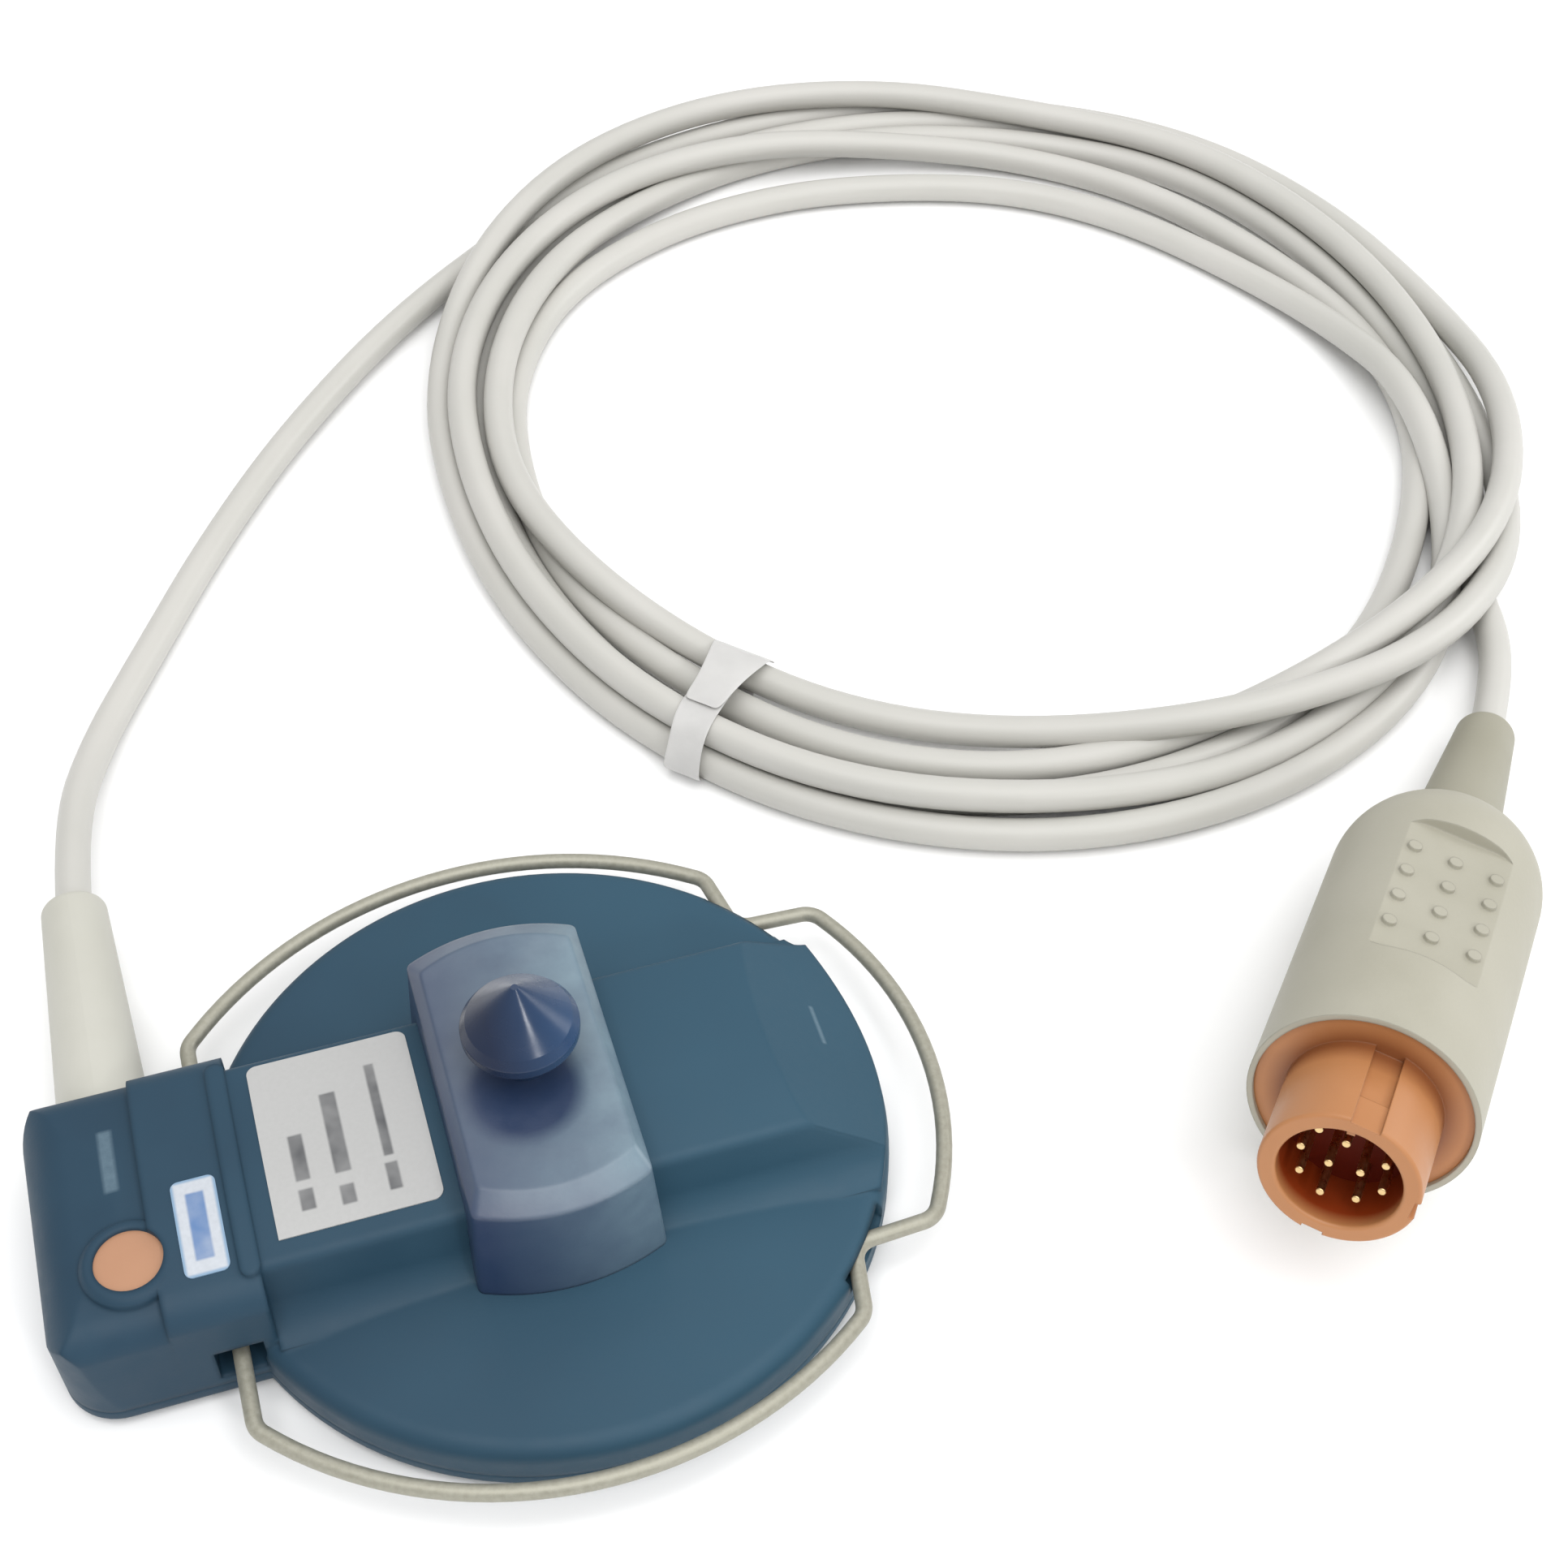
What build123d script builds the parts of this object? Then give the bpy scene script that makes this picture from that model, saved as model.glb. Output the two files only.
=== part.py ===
"""Contraction transducer of a fetal monitor, with its cord, coil and keyed plug.

Millimetres, +Z up. The origin is the middle of the sensing face, which rests on the surface.
The neck points along -X, and the cord leaves the neck along +Y.
"""

import os
from math import atan2, cos, degrees, pi, radians, sin, tan

from build123d import *

os.makedirs("parts", exist_ok=True)

# Disc of the housing
disc_radius = 40.0
rim_top = 7.9
rim_edge_radius = 2.2
dome_rise = 1.3
wall = 2.0
floor_bottom = 0.8
floor_thickness = 2.2
floor_edge = 0.9
parting_z = floor_bottom + floor_thickness
past = 1.0
fit_clearance = 0.1

# Spine that runs from the neck over the disc and ramps down to the rim
crown_z = 18.2
crown_edge_z = 17.2
crown_half = 13.5
spine_knee_half = 14.7
spine_knee_z = 12.0
spine_foot_half = 18.6
spine_foot_z = 8.2
spine_corner = 1.2
ramp_x = 26.3
ramp_low_z = 8.7
ramp_setback = 0.5

# Neck that holds the cord's entry
neck_end_x = -57.8
neck_inner_x = -34.0
spine_cavity_start_x = -36.5
neck_half_width = 17.8
neck_draft = 4.0
neck_corner = 6.5
neck_edge_drop = 3.0
step_x = -44.8
step_depth = 1.1
nose_drop = 1.3
nose_lift = 0.4
nose_radius = 6.0

# Raised rib across the neck's top
bead_x = -34.9
bead_width = 2.2
bead_height = 0.5
bead_length = 28.4

# Colour marker in its collar
marker_x = -47.3
marker_y = -8.3
marker_radius = 3.8
marker_thickness = 0.8
marker_recess = 1.2
collar_width = 1.6
collar_top_z = 17.5
collar_edge = 0.6

# Labels
label_thickness = 0.15
data_label_x = -22.3
data_label_y = 0.8
data_label_length = 18.3
data_label_width = 23.4
data_label_corner = 1.2
data_label_chamfer = 2.4
type_label_x = -39.3
type_label_y = -6.7
type_label_length = 4.9
type_label_width = 11.8
type_label_corner = 0.9

# Wire bail, sprung into the neck's sides and into two slots of the rim
wire_radius = 0.95
wire_z = 6.2
wire_stub_x = -38.3
wire_stub_y = 10.8
wire_bend_y = 25.8
wire_side_x = -5.0
wire_side_y = 42.4
kink_start_x = 28.4
kink_start_y = 32.2
kink_tip_x = 29.9
kink_tip_y = 23.6
kink_end_x = 39.9
kink_end_y = 23.1
wire_front_x = 46.6
wire_bend_radius = 2.8
pocket_floor_y = 13.4
pocket_low_z = 4.2
pocket_high_z = 9.0
pocket_start_x = -41.0
pocket_end_x = -35.6
backing = 2.0
slot_length = 10.6
slot_depth = 2.6
slot_height = 2.4
slot_backing = 1.8
slot_backing_z = 4.6

# Belt bracket that straddles the spine, and its knob
bracket_x = -1.2
bracket_foot_z = 7.0
bracket_shoulder_z = 22.6
bracket_top_z = 24.2
bracket_foot_half = 10.9
bracket_foot_corner_y = 18.7
bracket_shoulder_half = 10.0
bracket_shoulder_corner_y = 17.4
bracket_top_half = 8.8
bracket_top_corner_y = 14.8
bracket_bulge = 2.4
bracket_corner = 1.0
plate_thickness = 2.4
cavity_half = 6.0
stem_radius = 3.3
cap_low_z = 29.2
cap_radius = 6.6
cap_widest_z = 30.6
cone_radius = 5.9
cone_low_z = 31.7
knob_tip_z = 37.2
knob_tip_radius = 0.4
cap_edge = 0.4
knob_screw_length = 7.0
bracket_screw_y = 9.6
bracket_screw_length = 5.5
bracket_seat_z = 14.8

# Screws
head_radius = 1.9
head_height = 1.2
shank_radius = 1.0
cross_width = 0.5
cross_length = 2.2
cross_depth = 0.6
head_clearance = 0.2
head_sink = 0.3
boss_radius = 2.6
rim_screw_x = 18.0
rim_screw_y = 24.6
neck_screw_x = -53.6
neck_screw_y = -2.0
housing_screw_length = 3.8

# Rim seal and locating lip
seal_inset = 0.6
seal_width = 0.8
seal_thickness = 0.6
lip_thickness = 1.2
lip_height = 1.5
lip_start_x = -27.0

# Sensing pad, its membrane and the strain beam above it
pad_radius = 17.2
pad_thickness = 2.0
pad_edge = 0.6
pad_gap = 0.3
pad_stem_radius = 3.0
membrane_thickness = 0.5
membrane_hole = 13.0
membrane_ledge = 4.0
clamp_ring_width = 3.2
clamp_ring_height = 1.4
beam_z = 6.4
beam_thickness = 1.8
beam_width = 9.0
beam_start_x = -29.0
beam_end_x = 4.5
beam_screw_x = -26.0
beam_screw_y = 2.8
beam_screw_length = 4.5
beam_post_radius = 2.2
pad_screw_length = 4.5
gauge_x = -16.0
gauge_length = 5.0
gauge_width = 6.0
gauge_thickness = 0.3

# Circuit board hung under the spine
board_z = 11.8
board_thickness = 1.4
board_start_x = -12.0
board_end_x = 24.0
board_half_width = 8.0
board_screw_xs = (-5.0, 20.5)
board_post_radius = 2.2
board_screw_length = 4.2
connector_length = 4.0
connector_width = 6.0
connector_height = 2.2
chip_x = 7.0
chip_size = 7.0
chip_height = 1.1
capacitor_x = 14.5
capacitor_spacing = 4.0
capacitor_count = 3
capacitor_size = 1.8
capacitor_height = 1.0

# Cord entry: boot through the neck's far wall, clamped behind it
cord_diameter = 4.5
boot_x = -48.7
boot_z = 8.0
boot_end_y = 50.0
boot_base_radius = 5.5
boot_shoulder_radius = 4.0
boot_round = 1.2
boot_root_y = 14.0
boot_waist_radius = 4.0
boot_waist_end_y = 19.0
boot_flange_radius = 4.5
boot_flange_y = 12.8
boot_flange_thickness = 1.7
boot_tail_radius = 3.0
boot_tail_y = 6.4
clamp_y = 9.3
clamp_thickness = 3.4
clamp_half = 4.3
clamp_top_z = 12.4
clamp_ear = 1.4
clamp_boss_z = 6.0
clamp_boss_radius = 1.8
clamp_screw_offset = 6.8
clamp_screw_length = 3.6
lead_radius = 1.0
lead_corner = 4.0
lead_turn_y = 0.6
lead_rise_x = -40.0
lead_z = board_z - connector_height + lead_radius

# Coil of cord, as its outer shape, and its tie
coil_x = 93.5
coil_y = 114.0
coil_long_radius = 88.5
coil_short_radius = 81.5
coil_angle = 108.0
coil_eye_x = 89.0
coil_eye_y = 107.5
coil_band_long = 17.5
coil_band_short = 23.0
coil_eye_angle = -31.0
coil_height = 9.6
coil_round = 3.0
tie_thickness = 0.4
tie_angle = 225.0
tie_width = 4.4

# Plug, measured back from its front face along its axis
plug_front_x = 77.9
plug_front_y = -41.6
plug_heading = 229.0
plug_tilt = 12.5
plug_roll = 7.0
barrel_radius = 8.85
barrel_bore = 6.8
barrel_length = 12.0
barrel_edge = 0.4
bore_key_width = 0.9
bore_key_height = 0.5
bore_key_angle = -9.0
keyway_width = 3.3
keyway_depth = 0.9
keyway_step = 4.5
keyway_front_depth = 0.6
notch_width = 2.4
notch_depth = 0.7
notch_length = 9.0
notch_angles = (88.0, 180.0)
flange_radius = 12.2
flange_recess = 0.6
flange_thickness = 3.0
insert_depth = 7.5
insert_thickness = 4.0
pin_radius = 0.5
pin_tip_depth = 1.6
pin_tip_edge = 0.2
pin_embed = 3.0
pin_points = (
    (-4.0, 3.9), (-0.8, 3.6), (3.9, 3.0), (-4.9, 0.6), (-1.5, 0.0),
    (1.9, 0.6), (4.8, -0.6), (-3.9, -2.7), (-0.9, -4.4), (2.8, -3.2),
)
body_radius = 12.9
body_shoulder = 54.0
body_end = 65.0
body_tail_radius = 6.2
grip_center = 38.0
grip_length = 26.0
grip_width = 16.0
grip_corner = 4.0
grip_flat = 11.2
dot_columns = 3
dot_rows = 4
dot_pitch = 5.05
dot_radius = 0.85
dot_height = 0.5
plug_boot_radius = 5.8
plug_boot_end_radius = 3.9
plug_boot_end = 92.0

# Free stretches of cord: from the boot to the coil, and from the coil to the plug's boot
corner_share = 0.45
lead_in_points = (
    (boot_x, boot_end_y - past, boot_z),
    (-48.0, 65.5, 6.2),
    (-43.2, 82.0, 2.9),
    (-34.0, 98.0, 2.4),
    (-22.2, 117.6, 2.4),
    (-7.2, 138.2, 2.6),
    (14.5, 161.0, 2.9),
    (38.5, 178.6, 2.9),
)
plug_end_points = (
    (149.8, 53.0, 2.9),
    (148.3, 44.5, 2.9),
    (143.4, 34.9, 3.6),
)


def crown_arc(inset, raised=0.0):
    """Arc over the top of the neck and the spine, drawn in the open line."""
    edge_z = crown_edge_z - inset + raised
    half = crown_half - inset
    return ThreePointArc((-half, edge_z), (0, crown_z - inset + raised), (half, edge_z))


def plan_outline(inset):
    """Disc and neck as one outline, seen from above."""
    neck_length = neck_inner_x - neck_end_x - inset
    with BuildSketch() as outline:
        Circle(disc_radius - inset)
        with Locations((neck_inner_x - neck_length / 2, 0)):
            Rectangle(neck_length, 2 * (neck_half_width - inset))
        fillet(outline.vertices().group_by(Axis.X)[0], neck_corner - inset)
    return outline.sketch


def disc_blank(inset, bottom):
    """Turned disc with a rounded rim and a slightly domed top."""
    radius = disc_radius - inset
    with BuildPart() as blank:
        with BuildSketch(Plane.XZ) as profile:
            with BuildLine():
                crown = (0, rim_top + dome_rise - inset)
                dome = TangentArc(crown, (radius, rim_top - inset), tangent=(1, 0))
                Polyline(dome @ 1, (radius, bottom), (0, bottom), dome @ 0)
            make_face()
            rim_corner = profile.vertices().group_by(Axis.X)[-1].sort_by(Axis.Y)[-1]
            fillet(rim_corner, rim_edge_radius - inset / 2)
        revolve(axis=Axis.Z)
    return blank.part


def spine_blank(inset, bottom, start_x):
    """Crowned ridge with hollow flanks, cut off by the ramp and by the rim."""
    end_x = disc_radius - ramp_setback
    slope = atan2(crown_z - ramp_low_z, end_x - ramp_x)
    drop = inset / cos(slope)
    above_z = crown_z + past
    with BuildPart() as blank:
        with BuildSketch(Plane.YZ.offset(start_x)) as section:
            with BuildLine():
                crown = crown_arc(inset)
                flank = Line(crown @ 1, (spine_knee_half - inset, spine_knee_z - inset / 2))
                foot_end = (spine_foot_half - inset, spine_foot_z - inset)
                foot = TangentArc(flank @ 1, foot_end, tangent=flank % 1)
                side = Line(foot @ 1, ((foot @ 1).X, bottom))
                mirror([flank, foot, side], about=Plane.YZ)
                Line(side @ 1, (-(side @ 1).X, bottom))
            make_face()
            fillet(section.vertices().sort_by(Axis.Y)[-2:], spine_corner)
        extrude(amount=disc_radius - start_x)
        with BuildSketch(Plane.XZ):
            with BuildLine():
                Polyline(
                    (start_x, bottom),
                    (start_x, above_z),
                    (ramp_x - (drop + past) / tan(slope), above_z),
                    (end_x, ramp_low_z - drop),
                    (end_x, bottom),
                    close=True,
                )
            make_face()
        extrude(amount=disc_radius, both=True, mode=Mode.INTERSECT)
        with BuildSketch(Plane.XY.offset(bottom)):
            Circle(end_x - inset)
        extrude(amount=crown_z, mode=Mode.INTERSECT)
    return blank.part


def neck_section(inset, lowered, bottom, start_x, length):
    """Stretch of the neck: crowned top, soft edges, drafted sides."""
    wall_top_z = crown_edge_z - neck_edge_drop
    wall_top_half = neck_half_width - (wall_top_z - parting_z) * tan(radians(neck_draft))
    with BuildPart() as stretch:
        with BuildSketch(Plane.YZ.offset(start_x)):
            with BuildLine():
                crown = crown_arc(inset, -lowered)
                edge_end = (wall_top_half - inset, wall_top_z - inset / 2 - lowered)
                edge = TangentArc(crown @ 1, edge_end, tangent=crown % 1)
                side = Line(edge @ 1, (neck_half_width - inset, bottom))
                mirror([edge, side], about=Plane.YZ)
                Line(side @ 1, (-(side @ 1).X, bottom))
            make_face()
        extrude(amount=length)
    return stretch.part


def neck_blank(inset, bottom):
    """Neck with its lower, rounded nose beyond the step."""
    end_x = neck_end_x + inset
    inner_x = neck_inner_x - inset
    step = step_x + inset
    nose_z = crown_z - step_depth - inset
    above_z = crown_z + past
    with BuildPart() as blank:
        add(neck_section(inset, 0, bottom, step, inner_x - step))
        add(neck_section(inset, step_depth, bottom, end_x, step - end_x))
        with BuildSketch(Plane.XZ) as side_view:
            with BuildLine():
                Polyline(
                    (end_x, bottom),
                    (end_x, nose_z - nose_drop),
                    (step, nose_z + nose_lift),
                    (step, above_z),
                    (inner_x, above_z),
                    (inner_x, bottom),
                    close=True,
                )
            make_face()
            nose_corner = side_view.vertices().group_by(Axis.X)[0].sort_by(Axis.Y)[-1]
            fillet(nose_corner, nose_radius - inset)
        extrude(amount=neck_half_width, both=True, mode=Mode.INTERSECT)
        with BuildSketch(Plane.XY.offset(bottom)):
            add(plan_outline(inset))
        extrude(amount=crown_z, mode=Mode.INTERSECT)
    return blank.part


def screw(length, up):
    """Cross-recessed screw with its head's seat at z = 0; up is 1 or -1, the way its shank points."""
    with BuildPart() as one:
        with BuildSketch():
            Circle(head_radius)
        extrude(amount=-up * head_height)
        with BuildSketch():
            Circle(shank_radius)
        extrude(amount=up * length)
        with BuildSketch(Plane.XY.offset(-up * head_height)):
            Rectangle(cross_length, cross_width)
            Rectangle(cross_width, cross_length)
        extrude(amount=up * cross_depth, mode=Mode.SUBTRACT)
    return one.part


def screw_bores(points, bottom, length):
    """Round bores for screw shanks, with their clearance, as one group."""
    with BuildPart() as bores:
        with BuildSketch(Plane.XY.offset(bottom)):
            with Locations(*points):
                Circle(shank_radius + fit_clearance)
        extrude(amount=length)
    return bores.part


def label_skin(center_x, center_y, length, width, corner, chamfer_size):
    """Thin label bent over the crown, one corner cut where a chamfer is given."""
    with BuildPart() as skin:
        with BuildSketch(Plane.YZ.offset(center_x - length / 2)):
            with BuildLine():
                low = crown_arc(0)
                high = crown_arc(0, label_thickness)
                Line(low @ 0, high @ 0)
                Line(low @ 1, high @ 1)
            make_face()
        extrude(amount=length)
        with BuildSketch() as plan:
            with Locations((center_x, center_y)):
                Rectangle(length, width)
            cut_corner = plan.vertices().sort_by(Axis.X)[:2].sort_by(Axis.Y)[0]
            if chamfer_size:
                fillet(plan.vertices() - ShapeList([cut_corner]), corner)
                chamfer(cut_corner, chamfer_size)
            else:
                fillet(plan.vertices(), corner)
        extrude(amount=crown_z + label_thickness, mode=Mode.INTERSECT)
    return skin.part


def arc_sided_outline(half, corner_y):
    """Bracket's outline, seen from above: straight sides and bulging ends."""
    with BuildSketch() as outline:
        with BuildLine():
            near = ThreePointArc(
                (bracket_x - half, -corner_y),
                (bracket_x, -corner_y - bracket_bulge),
                (bracket_x + half, -corner_y),
            )
            far = ThreePointArc(
                (bracket_x + half, corner_y),
                (bracket_x, corner_y + bracket_bulge),
                (bracket_x - half, corner_y),
            )
            Line(near @ 1, far @ 0)
            Line(far @ 1, near @ 0)
        make_face()
        fillet(outline.vertices(), bracket_corner)
    return outline.sketch


def corner_radii(points):
    """Largest even arc at each corner of a cord's route: a share of its shorter run."""
    radii = []
    for before, corner, after in zip(points, points[1:], points[2:]):
        run_in = Vector(*corner) - Vector(*before)
        run_out = Vector(*after) - Vector(*corner)
        half_turn = radians(run_in.get_angle(run_out)) / 2
        radii.append(corner_share * min(run_in.length, run_out.length) / tan(half_turn))
    return radii


def cord_tube(name, points):
    """Round cord along straight runs joined by tangent arcs."""
    radii = corner_radii(points)
    print(name, "radii", [round(radius, 1) for radius in radii])
    with BuildPart() as tube:
        with BuildLine():
            route = FilletPolyline(*points, radius=radii)
        with BuildSketch(Plane(origin=route @ 0, z_dir=route % 0)):
            Circle(cord_diameter / 2)
        sweep()
    volume_share = tube.part.volume / (cord_diameter**2 * pi / 4 * route.length)
    print(name, "length", round(route.length, 1), "volume share", round(volume_share, 4))
    return tube.part


def coil_blank(grow):
    """Outer shape of the coil: a flat oval ring with an oval eye, wider on its far side."""
    eye_long_radius = coil_long_radius - coil_band_long
    eye_short_radius = coil_short_radius - coil_band_short
    with BuildPart() as ring:
        with BuildSketch(Plane.XY.offset(tie_thickness - grow)):
            with Locations(Location((coil_x, coil_y, 0), (0, 0, coil_angle))):
                Ellipse(coil_long_radius + grow, coil_short_radius + grow)
            with Locations(Location((coil_eye_x, coil_eye_y, 0), (0, 0, coil_eye_angle))):
                Ellipse(eye_long_radius - grow, eye_short_radius - grow, mode=Mode.SUBTRACT)
        extrude(amount=coil_height + 2 * grow)
        rims = ring.edges().filter_by(GeomType.LINE, reverse=True)
        fillet(rims, coil_round + grow)
    return ring.part


# Housing
lower_edge_z = parting_z - past
with BuildPart() as outer:
    add(disc_blank(0, parting_z))
    add(spine_blank(0, parting_z, neck_inner_x))
    add(neck_blank(0, parting_z))

with BuildPart() as cavity:
    add(disc_blank(wall, lower_edge_z))
    add(spine_blank(wall, lower_edge_z, spine_cavity_start_x))
    add(neck_blank(wall, lower_edge_z))

rim_screw_points = [(x, y) for x in (-rim_screw_x, rim_screw_x) for y in (-rim_screw_y, rim_screw_y)]
housing_screw_points = rim_screw_points + [(neck_screw_x, neck_screw_y)]
board_screw_points = [(x, 0) for x in board_screw_xs]
bracket_screw_points = [(bracket_x, -bracket_screw_y), (bracket_x, bracket_screw_y)]
beam_screw_points = [(beam_screw_x, -beam_screw_y), (beam_screw_x, beam_screw_y)]
head_seat_z = floor_bottom + head_sink + head_height
board_top_z = board_z + board_thickness
beam_top_z = beam_z + beam_thickness
slot_angle = degrees(atan2(kink_tip_y, kink_tip_x))
backing_center_x = (pocket_start_x + pocket_end_x) / 2
backing_length = pocket_end_x - pocket_start_x + 2 * backing
pocket_inner_y = pocket_floor_y - backing

with BuildPart() as supports:
    with BuildSketch(Plane.XY.offset(parting_z)):
        with Locations(*housing_screw_points):
            Circle(boss_radius)
    extrude(amount=crown_z)
    with BuildSketch(Plane.XY.offset(board_top_z)):
        with Locations(*board_screw_points):
            Circle(board_post_radius)
    extrude(amount=crown_z - board_top_z)
    with BuildSketch(Plane.XY.offset(bracket_seat_z)):
        with Locations(*bracket_screw_points):
            Circle(boss_radius)
    extrude(amount=crown_z - bracket_seat_z)
    with BuildSketch(Plane.XY.offset(parting_z)):
        for side in (-1, 1):
            with Locations((backing_center_x, side * (pocket_inner_y + neck_half_width) / 2)):
                Rectangle(backing_length, neck_half_width - pocket_inner_y)
    extrude(amount=pocket_high_z + backing - parting_z)
    with BuildSketch(Plane.XY.offset(slot_backing_z)):
        for side in (-1, 1):
            with Locations(Rotation(0, 0, side * slot_angle)):
                with Locations((disc_radius - slot_depth, 0)):
                    Rectangle(2 * slot_backing, slot_length + 2 * slot_backing)
    extrude(amount=wire_z + slot_height / 2 + past - slot_backing_z)
    add(outer.part, mode=Mode.INTERSECT)

crown_radius = (crown_half**2 + (crown_z - crown_edge_z) ** 2) / (2 * (crown_z - crown_edge_z))
marker_floor_z = collar_top_z - marker_recess
with BuildPart() as bead:
    with BuildSketch(Plane.YZ.offset(bead_x - bead_width / 2)):
        with Locations((0, crown_z - crown_radius)):
            Circle(crown_radius + bead_height)
            Circle(crown_radius - wall, mode=Mode.SUBTRACT)
    extrude(amount=bead_width)
    with BuildSketch(Plane.XY.offset(crown_edge_z - past)):
        with Locations(Location((bead_x, 0, 0), (0, 0, 90))):
            SlotOverall(bead_length, bead_width)
    extrude(amount=crown_z, mode=Mode.INTERSECT)

with BuildPart() as collar:
    with BuildSketch(Plane.XY.offset(marker_floor_z - marker_recess)):
        with Locations((marker_x, marker_y)):
            Circle(marker_radius + collar_width)
    extrude(amount=collar_top_z - marker_floor_z + marker_recess)
    chamfer(collar.faces().sort_by(Axis.Z)[-1].edges(), collar_edge)

with BuildPart() as upper_housing:
    add(outer.part)
    add(cavity.part, mode=Mode.SUBTRACT)
    add(supports.part)
    add(bead.part)
    add(collar.part)
    with BuildSketch(Plane.XY.offset(marker_floor_z)):
        with Locations((marker_x, marker_y)):
            Circle(marker_radius)
    extrude(amount=crown_z - marker_floor_z, mode=Mode.SUBTRACT)
    with BuildSketch(Plane.XY.offset(pocket_low_z)):
        for side in (-1, 1):
            with Locations((backing_center_x, side * (pocket_floor_y + neck_half_width) / 2)):
                Rectangle(pocket_end_x - pocket_start_x, neck_half_width - pocket_floor_y)
    extrude(amount=pocket_high_z - pocket_low_z, mode=Mode.SUBTRACT)
    with BuildSketch(Plane.XZ):
        with Locations((wire_stub_x, wire_z)):
            Circle(wire_radius + fit_clearance)
    extrude(amount=neck_half_width, both=True, mode=Mode.SUBTRACT)
    with BuildSketch(Plane.XY.offset(wire_z - slot_height / 2)):
        for side in (-1, 1):
            with Locations(Rotation(0, 0, side * slot_angle)):
                with Locations((disc_radius, 0)):
                    Rectangle(2 * slot_depth, slot_length)
    extrude(amount=slot_height, mode=Mode.SUBTRACT)
    with BuildSketch(Plane.XZ):
        with Locations((boot_x, boot_z)):
            Circle(boot_waist_radius + fit_clearance)
    extrude(amount=-neck_half_width, mode=Mode.SUBTRACT)
    bore_length = housing_screw_length + fit_clearance
    add(screw_bores(housing_screw_points, head_seat_z, bore_length), mode=Mode.SUBTRACT)
    add(screw_bores(board_screw_points, board_z, board_screw_length + fit_clearance), mode=Mode.SUBTRACT)
    add(screw_bores(bracket_screw_points, bracket_seat_z, bracket_screw_length), mode=Mode.SUBTRACT)

seal_z = parting_z - seal_thickness
with BuildPart() as lower_housing:
    with BuildSketch(Plane.XY.offset(floor_bottom)):
        add(plan_outline(0))
    extrude(amount=floor_thickness)
    fillet(lower_housing.faces().sort_by(Axis.Z)[0].edges(), floor_edge)
    with BuildSketch(Plane.XY.offset(seal_z)):
        add(plan_outline(seal_inset))
        add(plan_outline(seal_inset + seal_width), mode=Mode.SUBTRACT)
    extrude(amount=seal_thickness, mode=Mode.SUBTRACT)
    with BuildSketch(Plane.XY.offset(parting_z)):
        Circle(disc_radius - wall - fit_clearance)
        Circle(disc_radius - wall - fit_clearance - lip_thickness, mode=Mode.SUBTRACT)
        with Locations((lip_start_x - disc_radius, 0)):
            Rectangle(2 * disc_radius, 2 * disc_radius, mode=Mode.SUBTRACT)
    extrude(amount=lip_height)
    with BuildSketch(Plane.XY.offset(parting_z)):
        with Locations(*beam_screw_points):
            Circle(beam_post_radius)
    extrude(amount=beam_z - parting_z)
    with BuildSketch(Plane.XY.offset(parting_z)):
        with Locations((boot_x + clamp_screw_offset, clamp_y)):
            Circle(clamp_boss_radius)
    extrude(amount=clamp_boss_z - parting_z)
    with BuildSketch(Plane.XY.offset(floor_bottom)):
        Circle(pad_radius + pad_gap)
    extrude(amount=floor_thickness, mode=Mode.SUBTRACT)
    with BuildSketch(Plane.XY.offset(pad_thickness)):
        Circle(pad_radius + pad_gap + membrane_ledge)
    extrude(amount=floor_thickness, mode=Mode.SUBTRACT)
    with BuildSketch(Plane.XY.offset(floor_bottom)):
        with Locations(*housing_screw_points):
            Circle(head_radius + head_clearance)
    extrude(amount=head_seat_z - floor_bottom, mode=Mode.SUBTRACT)
    add(screw_bores(housing_screw_points, floor_bottom, floor_thickness), mode=Mode.SUBTRACT)
    beam_bore_z = beam_top_z - beam_screw_length
    add(screw_bores(beam_screw_points, beam_bore_z, beam_screw_length), mode=Mode.SUBTRACT)
    clamp_screw_point = (boot_x + clamp_screw_offset, clamp_y)
    clamp_seat_z = clamp_boss_z + clamp_ear
    clamp_bore_z = clamp_seat_z - clamp_screw_length - fit_clearance
    add(screw_bores([clamp_screw_point], clamp_bore_z, clamp_screw_length), mode=Mode.SUBTRACT)

with BuildPart() as housing_gasket:
    with BuildSketch(Plane.XY.offset(seal_z)):
        add(plan_outline(seal_inset))
        add(plan_outline(seal_inset + seal_width), mode=Mode.SUBTRACT)
    extrude(amount=seal_thickness)

with BuildPart() as housing_screws:
    with Locations(*[(x, y, head_seat_z) for x, y in housing_screw_points]):
        add(screw(housing_screw_length, 1))

# Sensing pad, membrane and strain beam
with BuildPart() as sensing_pad:
    with BuildSketch():
        Circle(pad_radius)
    extrude(amount=pad_thickness)
    fillet(sensing_pad.faces().sort_by(Axis.Z)[0].edges(), pad_edge)
    with BuildSketch(Plane.XY.offset(pad_thickness)):
        Circle(pad_stem_radius)
    extrude(amount=beam_z - pad_thickness)
    add(screw_bores([(0, 0)], beam_top_z - pad_screw_length, pad_screw_length), mode=Mode.SUBTRACT)

membrane_radius = pad_radius + pad_gap + membrane_ledge
with BuildPart() as pad_membrane:
    with BuildSketch(Plane.XY.offset(pad_thickness)):
        Circle(membrane_radius)
        Circle(membrane_hole, mode=Mode.SUBTRACT)
    extrude(amount=membrane_thickness)

with BuildPart() as membrane_ring:
    with BuildSketch(Plane.XY.offset(pad_thickness + membrane_thickness)):
        Circle(membrane_radius)
        Circle(membrane_radius - clamp_ring_width, mode=Mode.SUBTRACT)
    extrude(amount=clamp_ring_height)

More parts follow.
